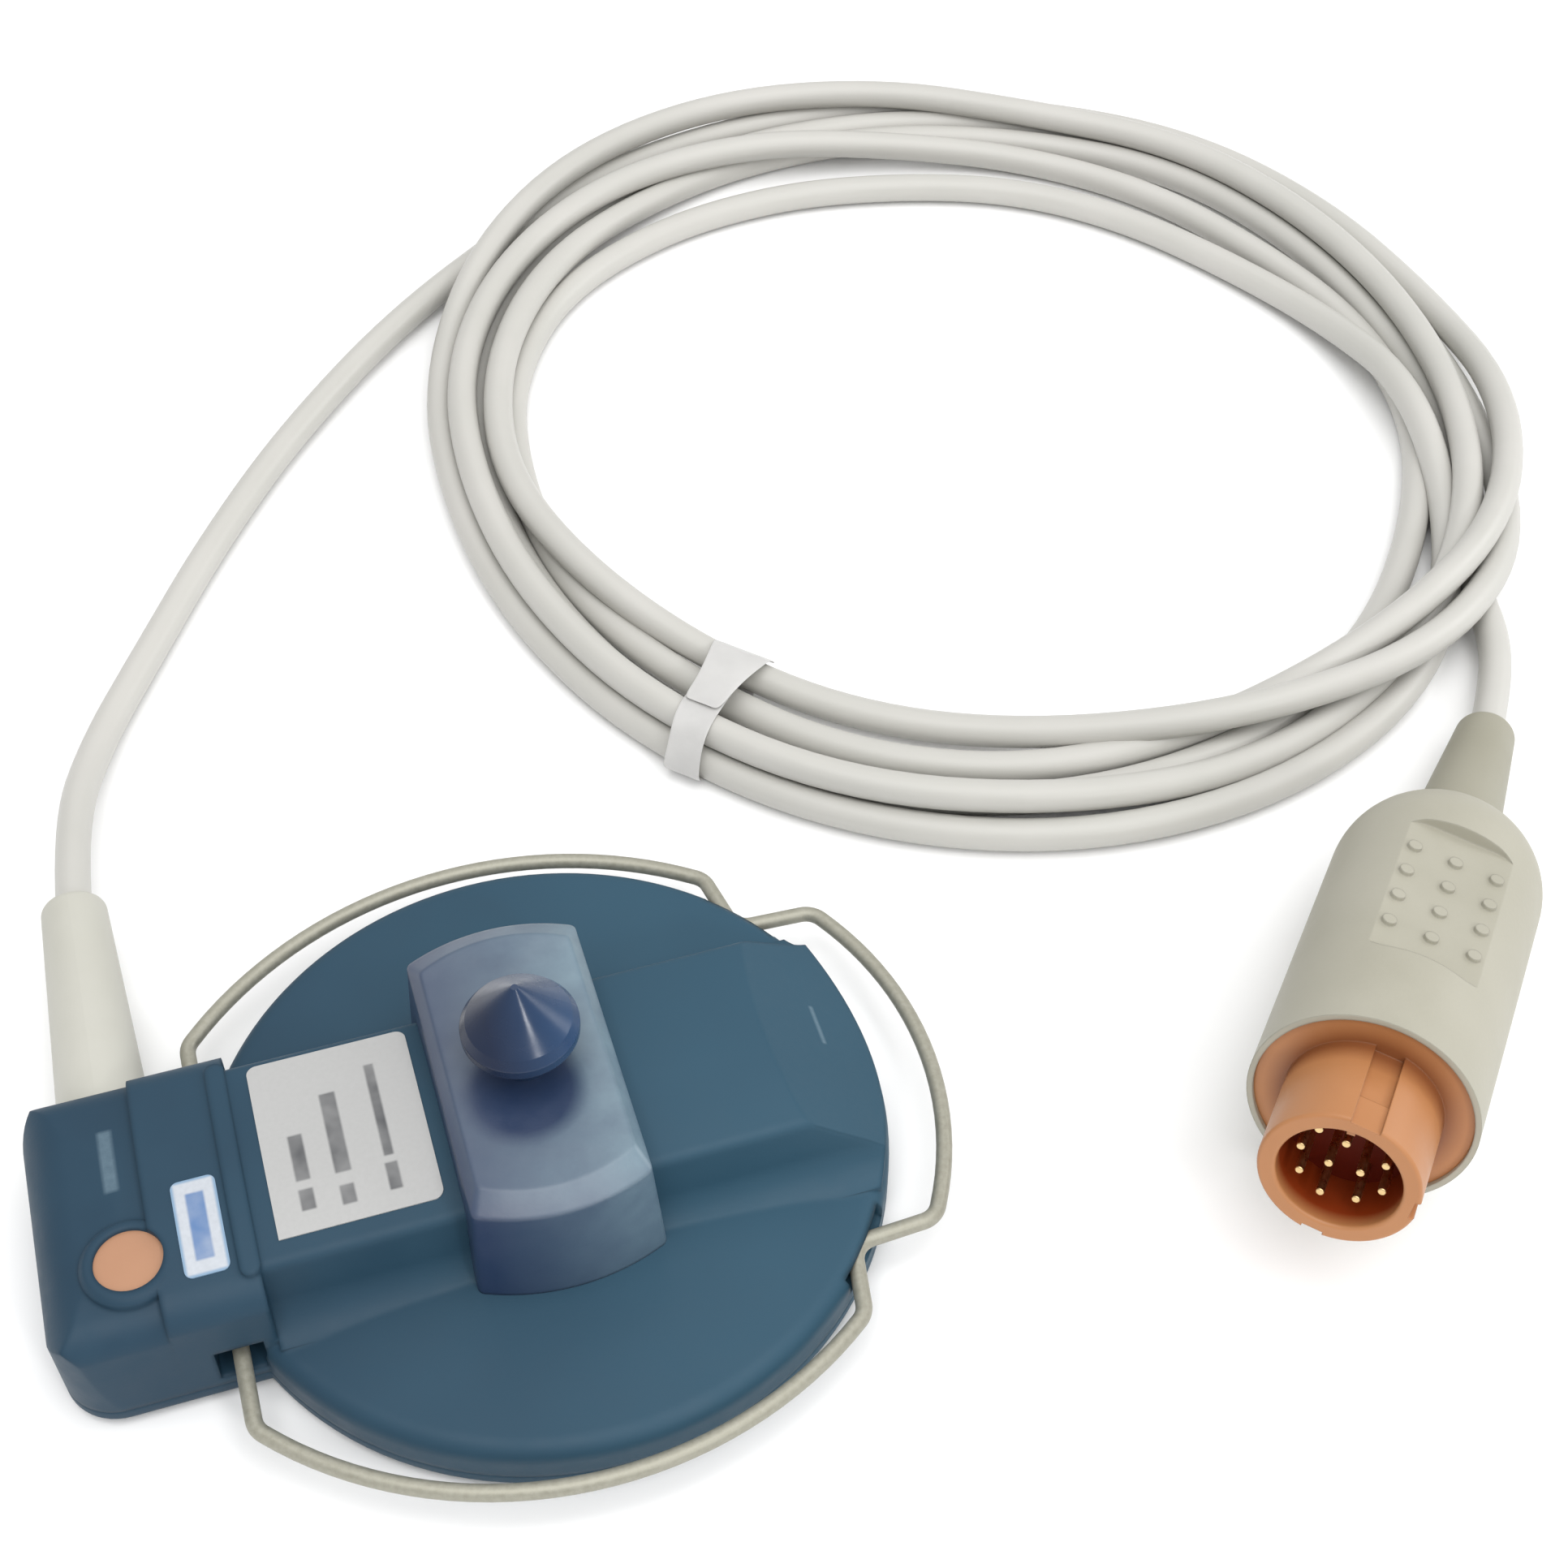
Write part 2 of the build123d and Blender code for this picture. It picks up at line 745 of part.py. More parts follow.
with BuildPart() as strain_beam:
    with BuildSketch(Plane.XY.offset(beam_z)):
        with Locations(((beam_start_x + beam_end_x) / 2, 0)):
            Rectangle(beam_end_x - beam_start_x, beam_width)
    extrude(amount=beam_thickness)
    add(screw_bores(beam_screw_points + [(0, 0)], beam_z, beam_thickness), mode=Mode.SUBTRACT)

with BuildPart() as strain_gauges:
    with BuildSketch(Plane.XY.offset(beam_top_z)):
        with Locations((gauge_x, 0)):
            Rectangle(gauge_length, gauge_width)
    extrude(amount=gauge_thickness)

with BuildPart() as beam_screws:
    with Locations(*[(x, y, beam_top_z) for x, y in beam_screw_points]):
        add(screw(beam_screw_length, -1))

with BuildPart() as pad_screw:
    with Locations((0, 0, beam_top_z)):
        add(screw(pad_screw_length, -1))

# Circuit board
with BuildPart() as circuit_board:
    with BuildSketch(Plane.XY.offset(board_z)):
        with Locations(((board_start_x + board_end_x) / 2, 0)):
            Rectangle(board_end_x - board_start_x, 2 * board_half_width)
    extrude(amount=board_thickness)
    add(screw_bores(board_screw_points, board_z, board_thickness), mode=Mode.SUBTRACT)

with BuildPart() as board_connector:
    with BuildSketch(Plane.XY.offset(board_z)):
        with Locations((board_start_x + connector_length / 2, 0)):
            Rectangle(connector_length, connector_width)
    extrude(amount=-connector_height)

with BuildPart() as board_chip:
    with BuildSketch(Plane.XY.offset(board_z)):
        with Locations((chip_x, 0)):
            Rectangle(chip_size, chip_size)
    extrude(amount=-chip_height)

with BuildPart() as board_capacitors:
    with BuildSketch(Plane.XY.offset(board_z)):
        with Locations((capacitor_x, 0)):
            with GridLocations(0, capacitor_spacing, 1, capacitor_count):
                Rectangle(capacitor_size, capacitor_size)
    extrude(amount=-capacitor_height)

with BuildPart() as board_screws:
    with Locations(*[(x, y, board_z) for x, y in board_screw_points]):
        add(screw(board_screw_length, 1))

# Cord entry
with BuildPart() as cable_boot:
    with BuildSketch(Plane.YZ.offset(boot_x)) as profile:
        with BuildLine():
            Polyline(
                (boot_root_y, boot_z),
                (boot_end_y, boot_z),
                (boot_end_y, boot_z + boot_shoulder_radius),
                (boot_root_y, boot_z + boot_base_radius),
                close=True,
            )
        make_face()
        fillet(profile.vertices().sort_by(Axis.X)[-2:].sort_by(Axis.Y)[-1], boot_round)
    revolve(axis=Axis((boot_x, 0, boot_z), (0, 1, 0)))
    add(outer.part, mode=Mode.SUBTRACT)
    with BuildSketch(Plane.XY.offset(floor_bottom)):
        add(plan_outline(0))
    extrude(amount=floor_thickness, mode=Mode.SUBTRACT)
    with BuildSketch(Plane.XZ.offset(-boot_waist_end_y)):
        with Locations((boot_x, boot_z)):
            Circle(boot_waist_radius)
    extrude(amount=boot_waist_end_y - boot_flange_y)
    with BuildSketch(Plane.XZ.offset(-boot_flange_y - boot_flange_thickness)):
        with Locations((boot_x, boot_z)):
            Circle(boot_flange_radius)
    extrude(amount=boot_flange_thickness)
    with BuildSketch(Plane.XZ.offset(-boot_flange_y)):
        with Locations((boot_x, boot_z)):
            Circle(boot_tail_radius)
    extrude(amount=boot_flange_y - boot_tail_y)

with BuildPart() as cable_clamp:
    with BuildSketch(Plane.XZ.offset(-clamp_y)):
        with Locations((boot_x, (parting_z + clamp_top_z) / 2)):
            Rectangle(2 * clamp_half, clamp_top_z - parting_z)
        with Locations((boot_x + (clamp_half + clamp_screw_offset) / 2, clamp_boss_z + clamp_ear / 2)):
            Rectangle(clamp_screw_offset - clamp_half + 2 * clamp_boss_radius, clamp_ear)
        with Locations((boot_x, boot_z)):
            Circle(boot_tail_radius, mode=Mode.SUBTRACT)
    extrude(amount=clamp_thickness / 2, both=True)
    add(screw_bores([clamp_screw_point], clamp_boss_z, clamp_ear), mode=Mode.SUBTRACT)

with BuildPart() as clamp_screw:
    with Locations((*clamp_screw_point, clamp_seat_z)):
        add(screw(clamp_screw_length, -1))

with BuildPart() as inner_leads:
    with BuildLine():
        FilletPolyline(
            (boot_x, boot_tail_y, boot_z),
            (boot_x, lead_turn_y, boot_z),
            (lead_rise_x, 0, lead_z),
            (board_start_x, 0, lead_z),
            radius=lead_corner,
        )
    with BuildSketch(Plane.XZ.offset(-boot_tail_y)):
        with Locations((boot_x, boot_z)):
            Circle(lead_radius)
    sweep()

# Wire bail
with BuildPart() as wire_bail:
    with BuildLine(Plane.XY.offset(wire_z)) as wire_route:
        stub = Line((wire_stub_x, wire_stub_y), (wire_stub_x, wire_bend_y))
        side_arc = ThreePointArc(stub @ 1, (wire_side_x, wire_side_y), (kink_start_x, kink_start_y))
        inward = Line(side_arc @ 1, (kink_tip_x, kink_tip_y))
        outward = Line(inward @ 1, (kink_end_x, kink_end_y))
        ThreePointArc(outward @ 1, (wire_front_x, 0), (kink_end_x, -kink_end_y))
        mirror([stub, side_arc, inward, outward], about=Plane.XZ)
        stub_ends = wire_route.vertices().group_by(Axis.X)[0].sort_by(lambda corner: abs(corner.Y))[:2]
        fillet(wire_route.vertices() - stub_ends, wire_bend_radius)
    with BuildSketch(Plane.XZ.offset(-wire_stub_y)):
        with Locations((wire_stub_x, wire_z)):
            Circle(wire_radius)
    sweep()

# Belt bracket and knob
with BuildPart() as belt_bracket:
    with BuildSketch(Plane.XY.offset(bracket_foot_z)):
        add(arc_sided_outline(bracket_foot_half, bracket_foot_corner_y))
    with BuildSketch(Plane.XY.offset(bracket_shoulder_z)):
        add(arc_sided_outline(bracket_shoulder_half, bracket_shoulder_corner_y))
    with BuildSketch(Plane.XY.offset(bracket_top_z)):
        add(arc_sided_outline(bracket_top_half, bracket_top_corner_y))
    loft(ruled=True)
    add(outer.part, mode=Mode.SUBTRACT)
    with BuildSketch(Plane.XY.offset(crown_edge_z)):
        with Locations((bracket_x, 0)):
            Rectangle(2 * cavity_half, 2 * cavity_half)
    extrude(amount=bracket_top_z - plate_thickness - crown_edge_z, mode=Mode.SUBTRACT)
    add(screw_bores(bracket_screw_points, crown_edge_z, bracket_screw_length), mode=Mode.SUBTRACT)
    add(screw_bores([(bracket_x, 0)], crown_edge_z, bracket_top_z - crown_edge_z), mode=Mode.SUBTRACT)

with BuildPart() as bracket_screws:
    with Locations(*[(x, y, bracket_seat_z) for x, y in bracket_screw_points]):
        add(screw(bracket_screw_length, 1))

with BuildPart() as belt_knob:
    with BuildSketch(Plane.XZ) as knob_profile:
        with BuildLine():
            Polyline(
                (bracket_x, bracket_top_z),
                (bracket_x + stem_radius, bracket_top_z),
                (bracket_x + stem_radius, cap_low_z),
                (bracket_x + cap_radius, cap_low_z),
                (bracket_x + cap_radius, cap_widest_z),
                (bracket_x + cone_radius, cone_low_z),
                (bracket_x + knob_tip_radius, knob_tip_z),
                (bracket_x, knob_tip_z),
                close=True,
            )
        make_face()
        cap_corners = knob_profile.vertices().filter_by_position(
            Axis.X, bracket_x + cone_radius, bracket_x + cap_radius
        )
        fillet(cap_corners, cap_edge)
    revolve(axis=Axis((bracket_x, 0, 0), (0, 0, 1)))
    knob_bore_length = knob_screw_length - plate_thickness + fit_clearance
    add(screw_bores([(bracket_x, 0)], bracket_top_z, knob_bore_length), mode=Mode.SUBTRACT)

with BuildPart() as knob_screw:
    with Locations((bracket_x, 0, bracket_top_z - plate_thickness)):
        add(screw(knob_screw_length, 1))

# Marker and labels
with BuildPart() as marker_disc:
    with BuildSketch(Plane.XY.offset(marker_floor_z)):
        with Locations((marker_x, marker_y)):
            Circle(marker_radius)
    extrude(amount=marker_thickness)

with BuildPart() as data_label:
    add(label_skin(data_label_x, data_label_y, data_label_length, data_label_width,
                   data_label_corner, data_label_chamfer))

with BuildPart() as type_label:
    add(label_skin(type_label_x, type_label_y, type_label_length, type_label_width, type_label_corner, 0))

# Coil, tie and the free stretches of cord
with BuildPart() as cord_coil:
    add(coil_blank(0))

with BuildPart() as coil_tie:
    add(coil_blank(tie_thickness))
    with BuildSketch():
        with Locations(Location((coil_x, coil_y, 0), (0, 0, tie_angle))):
            with Locations((coil_long_radius / 2, 0)):
                Rectangle(coil_long_radius + 2 * tie_width, tie_width)
    extrude(amount=coil_height + 2 * tie_thickness, mode=Mode.INTERSECT)
    add(cord_coil.part, mode=Mode.SUBTRACT)

# Plug, in a frame whose z is the way its nose points
tilt = radians(plug_tilt)
heading = radians(plug_heading)
shoulder_drop = body_radius - body_tail_radius
shoulder_radius = (shoulder_drop**2 + (body_end - body_shoulder) ** 2) / (2 * shoulder_drop)
plug_front_z = body_shoulder * sin(tilt) + (body_radius - shoulder_radius) * cos(tilt) + shoulder_radius
nose = Vector(cos(heading) * cos(tilt), sin(heading) * cos(tilt), sin(tilt))
plug_front = Vector(plug_front_x, plug_front_y, plug_front_z)
roll = radians(plug_roll)
level_x = Vector(-sin(heading), cos(heading), 0)
plug_x = level_x * cos(roll) - nose.cross(level_x) * sin(roll)
plug_plane = Plane(origin=plug_front, x_dir=plug_x, z_dir=nose)
plug_axis = Axis(plug_front, nose)
turning_plane = Plane(origin=plug_front, x_dir=plug_x, z_dir=plug_plane.y_dir)
body_start = barrel_length
shell_end = barrel_length + flange_recess + flange_thickness

with BuildPart() as plug_shell:
    with BuildSketch(turning_plane) as shell_profile:
        with BuildLine():
            Polyline(
                (barrel_bore, 0),
                (barrel_radius, 0),
                (barrel_radius, barrel_length + flange_recess),
                (flange_radius, barrel_length + flange_recess),
                (flange_radius, shell_end),
                (barrel_bore, shell_end),
                close=True,
            )
        make_face()
        fillet(shell_profile.vertices().group_by(Axis.Y)[0], barrel_edge)
    revolve(axis=plug_axis)
    with BuildSketch(plug_plane.offset(-barrel_length - flange_recess)):
        with Locations((0, barrel_radius)):
            Rectangle(keyway_width, 2 * keyway_depth)
    extrude(amount=barrel_length + flange_recess - keyway_step, mode=Mode.SUBTRACT)
    with BuildSketch(plug_plane.offset(-keyway_step)):
        with Locations((0, barrel_radius)):
            Rectangle(keyway_width, 2 * keyway_front_depth)
    extrude(amount=keyway_step, mode=Mode.SUBTRACT)
    with BuildSketch(plug_plane.offset(-notch_length)):
        for notch_angle in notch_angles:
            with Locations(Location((0, 0, 0), (0, 0, -notch_angle))):
                with Locations((0, barrel_radius)):
                    Rectangle(notch_width, 2 * notch_depth)
    extrude(amount=notch_length, mode=Mode.SUBTRACT)
    with BuildSketch(plug_plane.offset(-insert_depth)):
        with Locations(Location((0, 0, 0), (0, 0, -bore_key_angle))):
            with Locations((0, barrel_bore)):
                Rectangle(bore_key_width, 2 * bore_key_height)
    extrude(amount=insert_depth - barrel_edge)

with BuildPart() as pin_insert:
    with BuildSketch(plug_plane.offset(-insert_depth - insert_thickness)):
        Circle(barrel_bore)
    extrude(amount=insert_thickness)
    with BuildSketch(plug_plane.offset(-insert_depth - pin_embed)):
        with Locations(*pin_points):
            Circle(pin_radius)
    extrude(amount=pin_embed, mode=Mode.SUBTRACT)

with BuildPart() as contact_pins:
    with BuildSketch(plug_plane.offset(-insert_depth - pin_embed)):
        with Locations(*pin_points):
            Circle(pin_radius)
    extrude(amount=insert_depth + pin_embed - pin_tip_depth)
    fillet(contact_pins.faces().group_by(plug_axis)[-1].edges(), pin_tip_edge)

with BuildPart() as plug_body:
    with BuildSketch(turning_plane):
        with BuildLine():
            body_side = Line((body_radius, body_start), (body_radius, body_shoulder))
            shoulder = TangentArc(body_side @ 1, (body_tail_radius, body_end), tangent=(0, 1))
            Polyline(
                shoulder @ 1,
                (0, body_end),
                (0, shell_end),
                (flange_radius, shell_end),
                (flange_radius, body_start),
                body_side @ 0,
            )
        make_face()
    revolve(axis=plug_axis)
    grip_plane = Plane(
        origin=plug_front + plug_plane.y_dir * grip_flat - nose * grip_center,
        x_dir=plug_x,
        z_dir=plug_plane.y_dir,
    )
    with BuildSketch(grip_plane):
        RectangleRounded(grip_width, grip_length, grip_corner)
    extrude(amount=body_radius - grip_flat, mode=Mode.SUBTRACT)
    with BuildSketch(grip_plane):
        with GridLocations(dot_pitch, dot_pitch, dot_columns, dot_rows):
            Circle(dot_radius)
    extrude(amount=dot_height)

with BuildPart() as plug_boot:
    with BuildSketch(turning_plane) as plug_boot_profile:
        with BuildLine():
            Polyline(
                (0, body_end),
                (plug_boot_radius, body_end),
                (plug_boot_end_radius, plug_boot_end),
                (0, plug_boot_end),
                close=True,
            )
        make_face()
        fillet(plug_boot_profile.vertices().group_by(Axis.Y)[-1].sort_by(Axis.X)[-1], boot_round)
    revolve(axis=plug_axis)

cord_end = plug_front - nose * (plug_boot_end - past)
with BuildPart() as cord_lead_in:
    add(cord_tube("cord_lead_in", lead_in_points))
    add([cord_coil.part, cable_boot.part], mode=Mode.SUBTRACT)

with BuildPart() as cord_plug_end:
    add(cord_tube("cord_plug_end", plug_end_points + (tuple(cord_end),)))
    add([cord_coil.part, plug_boot.part], mode=Mode.SUBTRACT)

pieces = {
    "upper_housing": upper_housing,
    "lower_housing": lower_housing,
    "housing_gasket": housing_gasket,
    "housing_screws": housing_screws,
    "sensing_pad": sensing_pad,
    "pad_membrane": pad_membrane,
    "membrane_ring": membrane_ring,
    "pad_screw": pad_screw,
    "strain_beam": strain_beam,
    "strain_gauges": strain_gauges,
    "beam_screws": beam_screws,
    "circuit_board": circuit_board,
    "board_connector": board_connector,
    "board_chip": board_chip,
    "board_capacitors": board_capacitors,
    "board_screws": board_screws,
    "inner_leads": inner_leads,
    "cable_clamp": cable_clamp,
    "clamp_screw": clamp_screw,
    "cable_boot": cable_boot,
    "wire_bail": wire_bail,
    "belt_bracket": belt_bracket,
    "bracket_screws": bracket_screws,
    "belt_knob": belt_knob,
    "knob_screw": knob_screw,
    "marker_disc": marker_disc,
    "data_label": data_label,
    "type_label": type_label,
    "cord_lead_in": cord_lead_in,
    "cord_coil": cord_coil,
    "coil_tie": coil_tie,
    "cord_plug_end": cord_plug_end,
    "plug_boot": plug_boot,
    "plug_body": plug_body,
    "plug_shell": plug_shell,
    "pin_insert": pin_insert,
    "contact_pins": contact_pins,
}
for name, piece in pieces.items():
    piece.part.label = name
    export_step(piece.part, f"parts/{name}.step")
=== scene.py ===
import math

import bpy
from mathutils import Matrix, Vector


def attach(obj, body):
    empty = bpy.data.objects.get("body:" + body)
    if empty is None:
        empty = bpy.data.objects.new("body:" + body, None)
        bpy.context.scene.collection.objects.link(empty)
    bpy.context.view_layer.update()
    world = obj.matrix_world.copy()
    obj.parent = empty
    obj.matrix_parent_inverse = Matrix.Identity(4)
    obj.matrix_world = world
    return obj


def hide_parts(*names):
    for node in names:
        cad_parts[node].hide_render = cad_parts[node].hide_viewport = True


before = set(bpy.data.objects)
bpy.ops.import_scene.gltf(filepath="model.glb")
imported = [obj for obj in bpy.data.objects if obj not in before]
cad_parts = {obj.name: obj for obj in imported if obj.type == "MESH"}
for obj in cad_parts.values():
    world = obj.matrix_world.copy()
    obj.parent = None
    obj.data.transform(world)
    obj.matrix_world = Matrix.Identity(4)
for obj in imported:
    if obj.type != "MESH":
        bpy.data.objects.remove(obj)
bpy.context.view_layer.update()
scene = bpy.context.scene
MM = 0.001


# Camera at the photograph's angle: its place, the spot that it looks at, and its right-hand side
SENSOR_WIDTH = 36.0
FOCAL_LENGTH = 54.91
EYE = Vector((-0.01890, -0.15332, 0.24452))
LOOKED_AT = Vector((0.0446, 0.04979, 0.0))
RIGHT_SIDE = Vector((0.9544, -0.2984, 0.0))

camera_data = bpy.data.cameras.new("camera")
camera_data.sensor_width = SENSOR_WIDTH
camera_data.lens = FOCAL_LENGTH
camera = bpy.data.objects.new("camera", camera_data)
scene.collection.objects.link(camera)
forward = (LOOKED_AT - EYE).normalized()
right = RIGHT_SIDE.normalized()
up = right.cross(forward)
turned = Matrix((right, up, -forward)).transposed().to_4x4()
camera.matrix_world = Matrix.Translation(EYE) @ turned
scene.camera = camera


# Materials
def srgb(r, g, b):
    """Linear colour of an 8-bit one."""
    linear = []
    for c in (r, g, b):
        if c <= 10:
            linear.append(c / 255 / 12.92)
        else:
            linear.append(((c / 255 + 0.055) / 1.055) ** 2.4)
    return (*linear, 1.0)


class Maker:
    """One material and the help for building its nodes."""

    def __init__(self, name):
        self.material = bpy.data.materials.new(name)
        self.material.use_nodes = True
        self.tree = self.material.node_tree
        self.shader = self.tree.nodes["Principled BSDF"]
        self.place = self.tree.nodes.new("ShaderNodeTexCoord").outputs["Object"]
        self.colour = None

    def link(self, source, target):
        self.tree.links.new(source, target)

    def noise(self, scale, detail, roughness, place=None):
        node = self.tree.nodes.new("ShaderNodeTexNoise")
        node.inputs["Scale"].default_value = scale
        node.inputs["Detail"].default_value = detail
        node.inputs["Roughness"].default_value = roughness
        self.link(place or self.place, node.inputs["Vector"])
        return node.outputs["Fac"]

    def stretched(self, x, y, z):
        """The place with each axis scaled, for noise in streaks."""
        node = self.tree.nodes.new("ShaderNodeMapping")
        node.inputs["Scale"].default_value = (x, y, z)
        self.link(self.place, node.inputs["Vector"])
        return node.outputs["Vector"]

    def spread(self, source, low, high, out_low=0.0, out_high=1.0):
        """A value from low to high mapped to out_low to out_high, and clamped."""
        node = self.tree.nodes.new("ShaderNodeMapRange")
        node.inputs["From Min"].default_value = low
        node.inputs["From Max"].default_value = high
        node.inputs["To Min"].default_value = out_low
        node.inputs["To Max"].default_value = out_high
        self.link(source, node.inputs["Value"])
        return node.outputs["Result"]

    def mix(self, share, a, b):
        node = self.tree.nodes.new("ShaderNodeMix")
        node.data_type = "RGBA"
        self.link(share, node.inputs[0])
        for value, socket in ((a, node.inputs[6]), (b, node.inputs[7])):
            if isinstance(value, tuple):
                socket.default_value = value
            else:
                self.link(value, socket)
        return node.outputs[2]

    def math(self, kind, a, b=0.0):
        node = self.tree.nodes.new("ShaderNodeMath")
        node.operation = kind
        for value, socket in ((a, node.inputs[0]), (b, node.inputs[1])):
            if isinstance(value, (int, float)):
                socket.default_value = value
            else:
                self.link(value, socket)
        return node.outputs[0]

    def parts(self):
        """The place's X, Y and Z, in metres."""
        node = self.tree.nodes.new("ShaderNodeSeparateXYZ")
        self.link(self.place, node.inputs[0])
        return node.outputs

    def bump(self, source, strength, distance, onto=None):
        node = self.tree.nodes.new("ShaderNodeBump")
        node.inputs["Strength"].default_value = strength
        node.inputs["Distance"].default_value = distance
        self.link(source, node.inputs["Height"])
        if onto is not None:
            self.link(onto, node.inputs["Normal"])
        return node.outputs["Normal"]

    def band(self, source, middle, half, soft):
        """One within half of the middle, zero outside, with a soft edge."""
        away = self.math("ABSOLUTE", self.math("SUBTRACT", source, middle))
        return self.spread(away, half - soft, half + soft, 1.0, 0.0)

    def vector(self, kind, a, b=None):
        node = self.tree.nodes.new("ShaderNodeVectorMath")
        node.operation = kind
        self.link(a, node.inputs[0])
        if b is not None:
            node.inputs[1].default_value = b
        return node.outputs["Vector" if kind == "SUBTRACT" else "Value"]

    def from_axis(self, start, axis):
        """Distances along an axis and away from it, in metres."""
        moved = self.vector("SUBTRACT", self.place, start)
        along = self.vector("DOT_PRODUCT", moved, axis)
        whole = self.vector("LENGTH", moved)
        squares = self.math(
            "SUBTRACT", self.math("POWER", whole, 2.0), self.math("POWER", along, 2.0))
        return along, self.math("SQRT", self.math("MAXIMUM", squares, 0.0))

    def field(self, x, y, half_x, half_y, soft):
        """A soft-edged rectangle in plan, in millimetres."""
        place_x, place_y = self.parts()[0:2]
        return self.math(
            "MULTIPLY",
            self.band(place_x, x * MM, half_x * MM, soft * MM),
            self.band(place_y, y * MM, half_y * MM, soft * MM),
        )

    def colour_from(self, output):
        self.link(output, self.shader.inputs["Base Color"])


# Noise is used between these two values, where most of it lies
NOISE_LOW, NOISE_HIGH = 0.3, 0.7
# Height of the bump on plastic, on metal, and on boards and labels, in metres
PLASTIC_BUMP = 0.0001
METAL_BUMP = 0.00004
FILM_BUMP = 0.00005


def moulded(name, dark, light, roughness, grain, bump, patch=60.0, specular=0.5, soft_edge=0.0):
    """Moulded plastic: cloudy colour, fine grain, uneven gloss.

    grain and patch are the scales of the fine and the cloudy noise. soft_edge is
    the radius in millimetres by which edges are softened in the light.
    """
    made = Maker(name)
    cloud = made.noise(patch, 4.0, 0.55)
    made.colour = made.mix(made.spread(cloud, NOISE_LOW, NOISE_HIGH), dark, light)
    fine = made.noise(grain, 3.0, 0.6)
    uneven = made.noise(patch * 4, 5.0, 0.6)
    gloss = made.spread(uneven, NOISE_LOW, NOISE_HIGH, roughness - 0.05, roughness + 0.07)
    made.link(gloss, made.shader.inputs["Roughness"])
    made.shader.inputs["Specular IOR Level"].default_value = specular
    rounded = None
    if soft_edge:
        bevel = made.tree.nodes.new("ShaderNodeBevel")
        bevel.samples = 6
        bevel.inputs["Radius"].default_value = soft_edge * MM
        rounded = bevel.outputs["Normal"]
    made.link(made.bump(fine, bump, PLASTIC_BUMP, rounded), made.shader.inputs["Normal"])
    made.colour_from(made.colour)
    return made


def housing_plastic():
    """Dark teal with painted light, lighter towards the far side, and two faint painted
    reflections on top.
    """
    # Two painted reflections on top, a bar on the nose and a thin line at the far rim: x, y, half
    # sizes and soft edge in millimetres
    nose_reflection = (-48.0, 5.2, 0.75, 4.2, 0.25)
    far_reflection = (33.8, 2.0, 0.22, 2.8, 0.15)
    # Painted light towards the far side: where it starts, where it is full, and its greatest share
    light_ramp_from, light_ramp_to, most_painted_light = -0.045, 0.020, 0.45
    # Heights in metres over which the painted reflections come in, so they lie only on the top
    # faces
    reflections_from, reflections_full = 0.0068, 0.0072

    made = moulded("housing_plastic", srgb(32, 57, 75), srgb(37, 64, 82), 0.5, 2600.0, 0.12,
                   specular=0.25, soft_edge=1.0)
    # Painted light: the colour grows lighter towards the far (+X) side, where more light falls
    print_fade_and_painted_light = made.spread(made.parts()[0], light_ramp_from, light_ramp_to, 0.0, most_painted_light)
    lit_housing_colour = made.mix(print_fade_and_painted_light, made.colour, srgb(54, 92, 111))
    # Painted reflections: the two marks on the top faces, patchy in strength, mixed towards a pale
    # blue grey
    painted_reflections = made.math("ADD", made.field(*nose_reflection), made.field(*far_reflection))
    on_top = made.spread(made.parts()[2], reflections_from, reflections_full)
    reflection_patchiness = made.spread(made.noise(900.0, 4.0, 0.7), 0.3, 0.65, 0.4, 0.56)
    share = made.math("MULTIPLY", made.math("MULTIPLY", painted_reflections, on_top), reflection_patchiness)
    made.colour_from(made.mix(share, lit_housing_colour, srgb(112, 134, 147)))
    return made


def bracket_plastic():
    """Dark blue, with painted light paler on top and towards the far side, and a painted shadow
    round the knob.
    """
    # Painted shadow of the knob: its middle and axis, the radius where it is deepest and where it
    # ends, and the share of painted light left in it
    knob_shade, up_axis = (-0.0024, -0.0044, 0.0), (0.0, 0.0, 1.0)
    shade_radius, shade_end, least_painted_light = 0.0054, 0.0074, 0.05

    made = moulded("bracket_plastic", srgb(34, 50, 80), srgb(40, 56, 86), 0.34, 2400.0, 0.10,
                   specular=0.8, soft_edge=0.7)
    place = made.parts()
    # Painted light: paler towards the far side, on top, and most at the far edge, where the light
    # falls; mottled by cloudy noise
    far_side = made.spread(place[0], -0.010, 0.008, 0.0, 0.62)
    top = made.spread(place[2], 0.0222, 0.0238, 0.0, 0.12)
    far_edge = made.spread(place[0], 0.003, 0.0085, 0.0, 0.16)
    painted_light = made.math("ADD", made.math("ADD", far_side, top), far_edge)
    cloud = made.spread(made.noise(160.0, 4.0, 0.6), NOISE_LOW, NOISE_HIGH, 0.75, 1.2)
    painted_light = made.math("MULTIPLY", painted_light, cloud)
    # Painted shadow: the painted light is taken away round the knob
    from_knob = made.from_axis(knob_shade, up_axis)[1]
    outside_knob_shadow = made.spread(from_knob, shade_radius, shade_end, least_painted_light, 1.0)
    painted_light = made.math("MULTIPLY", painted_light, outside_knob_shadow)
    made.colour_from(made.mix(painted_light, made.colour, srgb(106, 129, 142)))
    return made


def knob_plastic():
    """Near black blue, with painted light making it paler on the far side, where the light falls.
    """
    made = moulded("knob_plastic", srgb(17, 30, 55), srgb(21, 35, 61), 0.24, 1800.0, 0.04,
                   specular=0.4)
    # Painted light: paler towards the far side
    far_side = made.spread(made.parts()[0], -0.0050, 0.0040)
    made.colour_from(made.mix(far_side, made.colour, srgb(36, 64, 98)))
    return made


